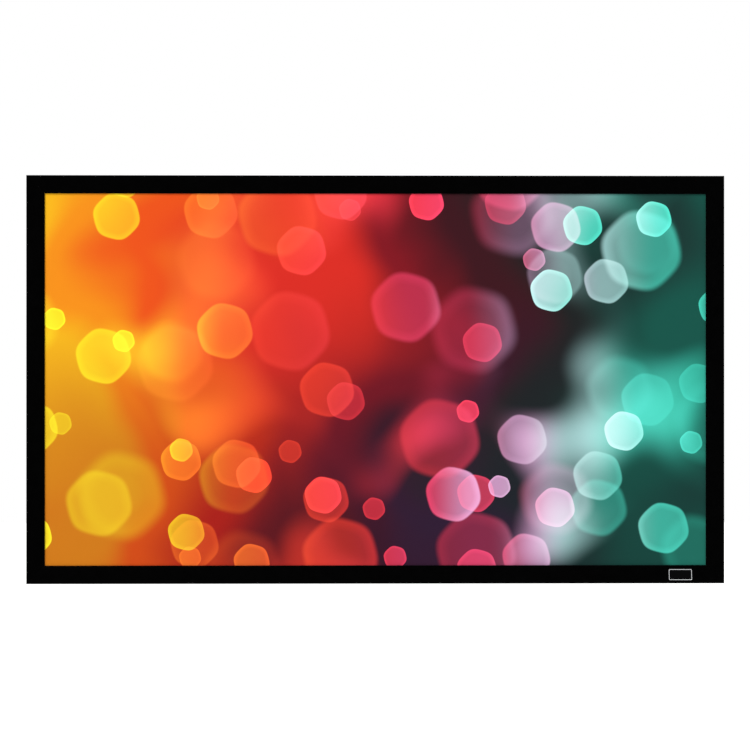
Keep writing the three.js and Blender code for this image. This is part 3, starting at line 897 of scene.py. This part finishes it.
def notch_tree():
    """A row of upright punches, one for each spring along a side."""
    inputs = {
        "Int": ["Count", "Sides"],
        "Float": ["Pitch", "First", "Radius", "Length"],
        "Material": ["Finish"],
    }
    tree, given, result = geometry_tree("notch_punches", inputs)
    places = row_of_points(tree, given["Count"], given["First"], given["Pitch"])
    sizes = {"Vertices": given["Sides"], "Radius": given["Radius"], "Depth": given["Length"]}
    punch = add_node(tree, "GeometryNodeMeshCylinder", sizes)["Mesh"]
    row = placed_copies(tree, places, punch, (pi / 2, 0, 0))
    feed(tree, result, finished_solid(tree, row, given["Finish"]))
    return tree


def pocket_sections():
    """The outside of a pocket with its welded seam, and the room inside it for the rod."""
    turn = 2 * atan2(pocket_radius, pocket_reach)
    fold_end = -pi / 2 - turn
    centre = (rod_out, rod_depth)
    meet = rod_out - pocket_reach
    seam_back = sheet_back - sheet_thickness
    outside = [Vector((meet - weld_width, sheet_front))]
    outside += arc(centre, pocket_radius + sheet_thickness, pi / 2, fold_end, fold_steps)
    leave = outside[-1]
    outside.append(Vector((leave.x - (seam_back - leave.y) / tan(turn), seam_back)))
    outside.append(Vector((meet - weld_width, seam_back)))
    inside = arc(centre, pocket_radius, fold_end, pi / 2, fold_steps)
    inside.append(Vector((meet, sheet_back)))
    return outside, inside


def combined(name, base, steps):
    """The base mesh after each step, which joins or cuts it by a set of meshes."""
    holder = link_piece(name, base)
    tools = []
    for operation, meshes in steps:
        tool = link_piece(operation, joined_mesh(operation, meshes))
        cutter = holder.modifiers.new(operation, "BOOLEAN")
        cutter.operation = operation
        cutter.solver = "MANIFOLD"
        cutter.object = tool
        tools.append(tool)
    made = evaluated_mesh(holder)
    for tool in tools:
        bpy.data.objects.remove(tool)
    return made


def sheet_mesh():
    x = picture_reach.x + rod_out
    z = picture_reach.z + rod_out
    half = [(x, corner_cut - z), (x, z - corner_cut), (x - corner_cut, z), (corner_cut - x, z)]
    outline = half + [(-a, -b) for a, b in half]
    layers = [[(a, -depth, b) for a, b in outline] for depth in (sheet_back, sheet_front)]
    cloth = lofted_mesh("cloth", layers)
    outside, inside = pocket_sections()
    fold_out = rod_out + pocket_radius + sheet_thickness
    punches = notch_tree()
    pockets, rooms, notches = [], [], []
    for side, placed in side_frames.items():
        end = side_lengths[side] / 2 - pocket_end
        pockets.append(prism("pocket", outside, -end, end, placed))
        rooms.append(prism("pocket_room", inside, -end - pocket_radius, end + pocket_radius, placed))
        count, pitch, first = spring_row(side)
        inputs = {
            "Count": count,
            "Pitch": pitch,
            "First": first,
            "Radius": notch_radius,
            "Length": notch_depth,
            "Sides": notch_sides,
            "Finish": sheet_finishes[BARE],
        }
        row = grown_mesh("notch_row", punches, inputs)
        row.transform(placed @ Matrix.Translation((0, -rod_depth, fold_out)))
        notches.append(row)
    steps = [("UNION", pockets), ("DIFFERENCE", rooms), ("DIFFERENCE", notches)]
    mesh = combined("screen_cloth", cloth, steps)
    mesh.materials.clear()
    for finish in sheet_finishes:
        mesh.materials.append(finish)
    mesh.shade_smooth()
    for face in mesh.polygons:
        face.material_index = sheet_face_finish(face)
        face.use_smooth = face.material_index == BARE
    mesh.set_sharp_from_angle(angle=radians(35))
    return mesh


screen_cloth = own_piece("screen_cloth", sheet_mesh(), "screen_cloth", "screen_sheet")

# Rods and springs: a glass fibre rod lies in each pocket, and springs of zinc plated wire pull it
# out towards the rail. Each spring has an eye round the rod, four open coils, and a tail that
# goes over the rail's hooked lip and down behind it.
rod_inset = 0.039  # from the end of the picture's side to the end of the rod
rod_butt = 0.00015
rod_sides = 28
wire_radius = 0.0006
wire_sides = 10
eye_start = radians(-40)
eye_end = radians(-270)
eye_steps = 20
coil_radius = 0.0029
coil_start = 0.0055  # these four are measured out from the rod's middle
coil_end = 0.019
lip_start = 0.023
tail_out = 0.0257
tail_behind = 0.0032  # the tail lies this much nearer the wall than the rod's middle
tail_drop = 0.002
tail_bend_steps = 5
spring_turns = 4
steps_to_a_turn = 18
fibre_light = (0.66, 0.64, 0.52, 1)
fibre_dark = (0.5, 0.47, 0.34, 1)
wire_dull = (0.45, 0.465, 0.4875, 1)
wire_bright = (0.66, 0.682, 0.715, 1)


def drawn_finish(name, fixed, along, scales, colours, roughness, bump):
    """A material with a die's marks. Its scales are for lines and streaks, and its bump is the
    relief and the strength."""
    made, tree, shader = new_material(name, fixed)
    marks = drawn_marks(tree, along, *scales)
    shade = marks["Shade"]
    coat(tree, shader, mixed(tree, shade, *colours), spread_out(tree, shade, *roughness))
    bumped(tree, shader, marks["Height"], *bump)
    return made


def wire_points():
    """A spring's wire, about the rod, with X along it, Y towards the wall and Z out."""
    eye = arc((0, 0), rod_radius + wire_radius, eye_start, eye_end, eye_steps)
    points = [(0, behind, out) for out, behind in eye]
    steps = spring_turns * steps_to_a_turn
    for step in range(steps + 1):
        angle = 2 * pi * step / steps_to_a_turn
        out = coil_start + (coil_end - coil_start) * step / steps
        points.append((coil_radius * sin(angle), coil_radius * cos(angle), out))
    points.append((0, tail_behind, lip_start))
    centre = (tail_out - wire_radius, tail_behind - wire_radius)
    bend = arc(centre, wire_radius, pi / 2, 0, tail_bend_steps)
    points += [(0, behind, out) for out, behind in bend]
    points.append((0, tail_behind - wire_radius - tail_drop, tail_out))
    return points


def wire_curve(points):
    curve = bpy.data.curves.new("spring_wire", "CURVE")
    curve.dimensions = "3D"
    line = curve.splines.new("POLY")
    line.points.add(len(points) - 1)
    for point, place in zip(line.points, points):
        point.co = (*place, 1)
    return link_piece("spring_wire", curve)


def round_bar(tree, curve, radius, sides):
    """A solid bar along a curve, with closed ends."""
    profile = add_node(tree, "GeometryNodeCurvePrimitiveCircle", {"Resolution": sides, "Radius": radius})
    inputs = {"Curve": curve, "Profile Curve": profile["Curve"], "Fill Caps": True}
    return add_node(tree, "GeometryNodeCurveToMesh", inputs)["Mesh"]


def shape_of(tree, piece):
    return add_node(tree, "GeometryNodeObjectInfo", {"Object": piece})["Geometry"]


def sprung_rod_tree(wire):
    """A rod along X with its springs."""
    inputs = {
        "Float": ["Rod Start", "Rod End", "Rod Radius", "Wire Radius", "First Spring", "Spring Pitch"],
        "Int": ["Springs"],
        "Material": ["Rod Finish", "Wire Finish"],
    }
    tree, given, result = geometry_tree("sprung_rod", inputs)
    ends = {label: xyz(tree, X=given[f"Rod {label}"]) for label in ("Start", "End")}
    line = add_node(tree, "GeometryNodeCurvePrimitiveLine", ends)["Curve"]
    rod = round_bar(tree, line, given["Rod Radius"], rod_sides)
    spring = round_bar(tree, shape_of(tree, wire), given["Wire Radius"], wire_sides)
    places = row_of_points(tree, given["Springs"], given["First Spring"], given["Spring Pitch"])
    row = placed_copies(tree, places, spring)
    both = tree.nodes.new("GeometryNodeJoinGeometry")
    for shape, finish in ((rod, given["Rod Finish"]), (row, given["Wire Finish"])):
        feed(tree, both.inputs[0], finished_solid(tree, shape, finish))
    feed(tree, result, both.outputs[0])
    return tree


wire = wire_curve(wire_points())
sprung_rod = sprung_rod_tree(wire)
wire_finish = mottled_finish(
    "zinc_wire",
    {"Metallic": 1.0},
    scale=700,
    detail=3,
    colours=(wire_dull, wire_bright),
    span=(0.2, 0.8),
    roughness=(0.22, 0.4),
)
rod_finish = {
    along: drawn_finish(
        f"glass_fibre_{along}",
        {"Specular IOR Level": 0.5},
        along,
        scales=(2600, 500),
        colours=(fibre_dark, fibre_light),
        roughness=(0.28, 0.45),
        bump=(0.00005, 0.6),
    )
    for along in "XZ"
}

for label, (side, near_mitre, far_mitre) in rail_spans.items():
    count, pitch, first = spring_row(side)
    reach = side_lengths[side] / 2 - rod_inset
    inputs = {
        "Rod Start": -reach if near_mitre else rod_butt,
        "Rod End": reach if far_mitre else -rod_butt,
        "Rod Radius": rod_radius,
        "Wire Radius": wire_radius,
        "Springs": count if near_mitre and far_mitre else count // 2,
        "First Spring": first if near_mitre else pitch / 2,
        "Spring Pitch": pitch,
        "Rod Finish": rod_finish[side_axes[side]],
        "Wire Finish": wire_finish,
    }
    mesh = grown_mesh("sprung_rod", sprung_rod, inputs)
    mesh.transform(side_frames[side] @ Matrix.Translation((0, -rod_depth, rod_out)))
    smooth(mesh, 40)
    own_piece(f"{label}_sprung_rod", mesh, "rod_and_springs", f"{label}_tension_rod")
bpy.data.objects.remove(wire)

# Joint plates: zinc plated steel elbows in the corners and straight joiners in the middle of the
# wide sides, in the rails' rear channel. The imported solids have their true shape.
zinc_blue = (0.4, 0.43, 0.48, 1)
zinc_warm = (0.52, 0.5, 0.44, 1)
zinc_cloud_scale = 60
zinc_grain_scale = 420
zinc_shades = (0.8, 1.08)
zinc_roughness = (0.28, 0.45)
zinc_relief = 0.0001
plate_nodes = [f"{end}_elbow" for end in ("top_left", "top_right", "bottom_right", "bottom_left")]
plate_nodes += ["top_joiner", "bottom_joiner"]


def zinc_plate():
    made, tree, shader = new_material("zinc_plate", {"Metallic": 1.0})
    position = object_position(tree)
    cloud = noise(tree, position, zinc_cloud_scale, 4, 0.6)
    cells = {"Vector": position, "Scale": zinc_grain_scale}
    grain = channels_of(tree, add_node(tree, "ShaderNodeTexVoronoi", cells)["Color"])["Red"]
    colour = mixed(tree, mapped(tree, cloud, 0.35, 0.65), zinc_blue, zinc_warm)
    shaded = mixed(tree, 1.0, colour, mapped(tree, grain, 0, 1, *zinc_shades), "MULTIPLY")
    coat(tree, shader, shaded, mapped(tree, grain, 0, 1, *zinc_roughness))
    bumped(tree, shader, cloud, zinc_relief, 0.5)
    return made


zinc_plated = zinc_plate()
for node in plate_nodes:
    set_finish(node, zinc_plated)

# Set screws: black M6 screws with a cone point and a hex socket, two in each arm of a joint plate,
# which press on the channel's floor and so pull the plate tight.
screw_radius = 0.003
screw_length = 0.0084
point_radius = 0.0004
thread_pitch = 0.001
thread_depth = 0.0005
screw_sides = 24
rings_to_a_thread = 6
cone_length = 0.0015
screw_chamfer = 0.0004
socket_apothem = 0.0015
socket_depth = 0.0028
screw_seed = 4
oxide_dark = (0.012, 0.012, 0.013, 1)
oxide_worn = (0.09, 0.088, 0.085, 1)


def hex_radius(angle):
    """How far a hexagon of that apothem reaches at an angle."""
    return socket_apothem / cos((angle + pi / 6) % (pi / 3) - pi / 6)


def thread_radius(height, angle):
    phase = (height / thread_pitch - angle / (2 * pi)) % 1
    return screw_radius - thread_depth * abs(2 * phase - 1)


def screw_mesh():
    """One screw along Y, with its point at the origin and its socket at the far end."""
    # Each ring: its height, and its radius at an angle
    rings = [(0, lambda angle: point_radius)]
    steps = int((screw_length - screw_chamfer - cone_length) / thread_pitch * rings_to_a_thread)
    for step in range(steps + 1):
        height = cone_length + step * thread_pitch / rings_to_a_thread
        rings.append((height, lambda angle, height=height: thread_radius(height, angle)))
    rings.append((screw_length, lambda angle: screw_radius - thread_depth))
    rings.append((screw_length, hex_radius))
    rings.append((screw_length - socket_depth, hex_radius))
    angles = [2 * pi * i / screw_sides for i in range(screw_sides)]
    placed = [
        [(radius(angle) * cos(angle), height, radius(angle) * sin(angle)) for angle in angles]
        for height, radius in rings
    ]
    return lofted_mesh("set_screw", placed)


def screw_tree(screw, finish):
    """A screw at each point of the base mesh, each turned at random about its own length."""
    inputs = {"Float": ["Most Turn"], "Int": ["Seed"]}
    tree, given, result = geometry_tree("set_screws", inputs)
    draw = {"Max": xyz(tree, Y=given["Most Turn"]), "Seed": given["Seed"]}
    turn = add_node(tree, "FunctionNodeRandomValue", draw, data_type="FLOAT_VECTOR")["Value"]
    copies = placed_copies(tree, given["Geometry"], shape_of(tree, screw), turn)
    feed(tree, result, finished_solid(tree, copies, finish))
    return tree


black_oxide = mottled_finish(
    "black_oxide",
    {"Metallic": 0.7},
    scale=500,
    detail=4,
    sharpness=0.65,
    colours=(oxide_dark, oxide_worn),
    span=(0.55, 0.75),
    roughness=(0.5, 0.32),
)
screw_nodes = sorted(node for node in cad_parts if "_screw_" in node)
screw_places = bpy.data.meshes.new("screw_places")
screw_centres = [sum(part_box(node), Vector()) / 2 for node in screw_nodes]
screw_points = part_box(screw_nodes[0])[0].y
screw_places.from_pydata([(centre.x, screw_points, centre.z) for centre in screw_centres], [], [])
screw_shape = link_piece("set_screw", screw_mesh())
screw_inputs = {"Most Turn": pi / 3, "Seed": screw_seed}
screws = grown_mesh("set_screws", screw_tree(screw_shape, black_oxide), screw_inputs, screw_places)
bpy.data.objects.remove(screw_shape)
smooth(screws, 28)
own_piece("set_screws", screws, "black_steel", *screw_nodes)

# Support bar: a flat aluminium tube behind the middle of the sheet, with a black moulded cap in
# each end that drops into the rails' gutters.
bar_easing = 0.0006  # how far the outer edges are rounded
cap_easing = 0.0005
easing_steps = 2
merge_distance = 0.000002
plastic_dark = (0.009, 0.009, 0.01, 1)
plastic_light = (0.016, 0.016, 0.017, 1)
plastic_grain = 1600
plastic_roughness = (0.45, 0.6)
plastic_relief = 0.00006


def eased_mesh(node, width, finish):
    """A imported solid's shape with its outer edges rounded, as a die or a mould leaves them."""
    shape = bmesh.new()
    shape.from_mesh(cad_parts[node].data)
    bmesh.ops.remove_doubles(shape, verts=shape.verts[:], dist=merge_distance)
    bmesh.ops.dissolve_limit(shape, angle_limit=radians(0.5), verts=shape.verts[:], edges=shape.edges[:])
    outer = [
        edge
        for edge in shape.edges
        if edge.is_manifold and edge.is_convex and edge.calc_face_angle() > radians(40)
    ]
    bmesh.ops.bevel(
        shape,
        geom=outer,
        offset=width,
        segments=easing_steps,
        profile=0.5,
        affect="EDGES",
        clamp_overlap=True,
    )
    mesh = bpy.data.meshes.new(node)
    shape.to_mesh(mesh)
    shape.free()
    mesh.materials.clear()
    mesh.materials.append(finish)
    smooth(mesh, 50)
    return mesh


def moulded_plastic():
    made, tree, shader = new_material("moulded_black", {"Specular IOR Level": 0.4})
    mottle(tree, shader, scale=90, detail=3, colours=(plastic_dark, plastic_light))
    grain = noise(tree, object_position(tree), plastic_grain)
    feed(tree, shader.inputs["Roughness"], spread_out(tree, grain, *plastic_roughness))
    bumped(tree, shader, grain, plastic_relief, 0.8)
    return made


bar = eased_mesh("support_bar", bar_easing, mill_finish["Z"])
own_piece("bar_tube", bar, "rail_aluminium", "support_bar")
moulded = moulded_plastic()
for end in ("top", "bottom"):
    cap = eased_mesh(f"support_bar_{end}_cap", cap_easing, moulded)
    own_piece(f"bar_{end}_end", cap, "black_plastic", f"support_bar_{end}_cap")

# Wall brackets: four short lengths of hooked extrusion, black anodised, two above and two below,
# each with three slots for wall screws.
bracket_easing = 0.0004
anodised_dark = (0.014, 0.014, 0.015, 1)
anodised_light = (0.034, 0.034, 0.037, 1)

anodised = drawn_finish(
    "anodised_black",
    {"Metallic": 0.6, "Specular IOR Level": 0.5},
    "X",
    scales=(die_line_scale, 260),
    colours=(anodised_dark, anodised_light),
    roughness=(0.42, 0.56),
    bump=(0.00006, 0.8),
)
for node in sorted(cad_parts):
    if node.endswith("_wall_bracket"):
        bracket = eased_mesh(node, bracket_easing, anodised)
        own_piece(node.replace("wall_bracket", "hooked_bracket"), bracket, "black_anodised", node)

# Badge plate: a small die-cast plate with a bright rim round a bare, satin black field, stuck to
# the sloped face of the lower rail near the right-hand corner.
badge_width = 0.077
badge_height = 0.036
badge_thickness = 0.0016
badge_corner = 0.004
least_corner = 0.0006
badge_rim = 0.0017
badge_recess = 0.0006
badge_edge = 0.0003  # how far its edges are rounded
badge_out = 0.031  # from the picture's edge to the badge's middle
badge_seat = 0.0013  # from the rail's face to the badge's back
badge_corner_steps = 8
bright_clean = (0.78, 0.79, 0.8, 1)
bright_dull = (0.6, 0.61, 0.63, 1)
field_dark = (0.0005, 0.0005, 0.0006, 1)
field_light = (0.0016, 0.0016, 0.0018, 1)
field_grain = 2400


def rounded_rectangle(inset):
    """Points round the badge's outline, moved in by an inset."""
    radius = max(badge_corner - inset, least_corner)
    x = badge_width / 2 - inset - radius
    z = badge_height / 2 - inset - radius
    points = []
    for quarter, (side_x, side_z) in enumerate([(1, 1), (-1, 1), (-1, -1), (1, -1)]):
        for step in range(badge_corner_steps + 1):
            angle = pi / 2 * (quarter + step / badge_corner_steps)
            points.append((side_x * x + radius * cos(angle), side_z * z + radius * sin(angle)))
    return points


def badge_mesh():
    top = badge_thickness
    eased = 0.3 * badge_edge  # where the middle of a rounded edge lies
    # Each ring: how far it lies inside the outline, and how high over the badge's back
    levels = [
        (0, 0),
        (0, top - badge_edge),
        (eased, top - eased),
        (badge_edge, top),
        (badge_rim - badge_edge, top),
        (badge_rim - eased, top - eased),
        (badge_rim, top - badge_edge),
        (badge_rim, top - badge_recess),
    ]
    rings = [[(x, -height, z) for x, z in rounded_rectangle(inset)] for inset, height in levels]
    slope = atan2(rail_front - lip_front, land_out - lip_corner_out)
    face_depth = lip_front + (badge_out - lip_corner_out) * tan(slope) + badge_seat / cos(slope)
    low, high_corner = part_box("badge_plate")
    along = -(low.x + high_corner.x) / 2
    placed = side_frames["bottom"] @ Matrix.Translation((along, -face_depth, badge_out))
    return lofted_mesh("badge", rings, placed @ Matrix.Rotation(slope, 4, "X"))


bright_rim = mottled_finish(
    "bright_rim",
    {"Metallic": 1.0},
    grain=(1500, 0.00002, 0.4),
    scale=240,
    detail=4,
    sharpness=0.6,
    colours=(bright_dull, bright_clean),
    roughness=(0.3, 0.18),
)
satin_field = mottled_finish(
    "satin_field",
    {"Specular IOR Level": 0.02},
    grain=(field_grain, 0.00003, 0.6),
    scale=field_grain,
    detail=2,
    colours=(field_dark, field_light),
    roughness=(0.4, 0.55),
)
badge = badge_mesh()
badge.materials.append(bright_rim)
badge.materials.append(satin_field)
badge.polygons[len(badge.polygons) - 1].material_index = 1
smooth(badge, 50)
own_piece("badge", badge, "badge_metal", "badge_plate")
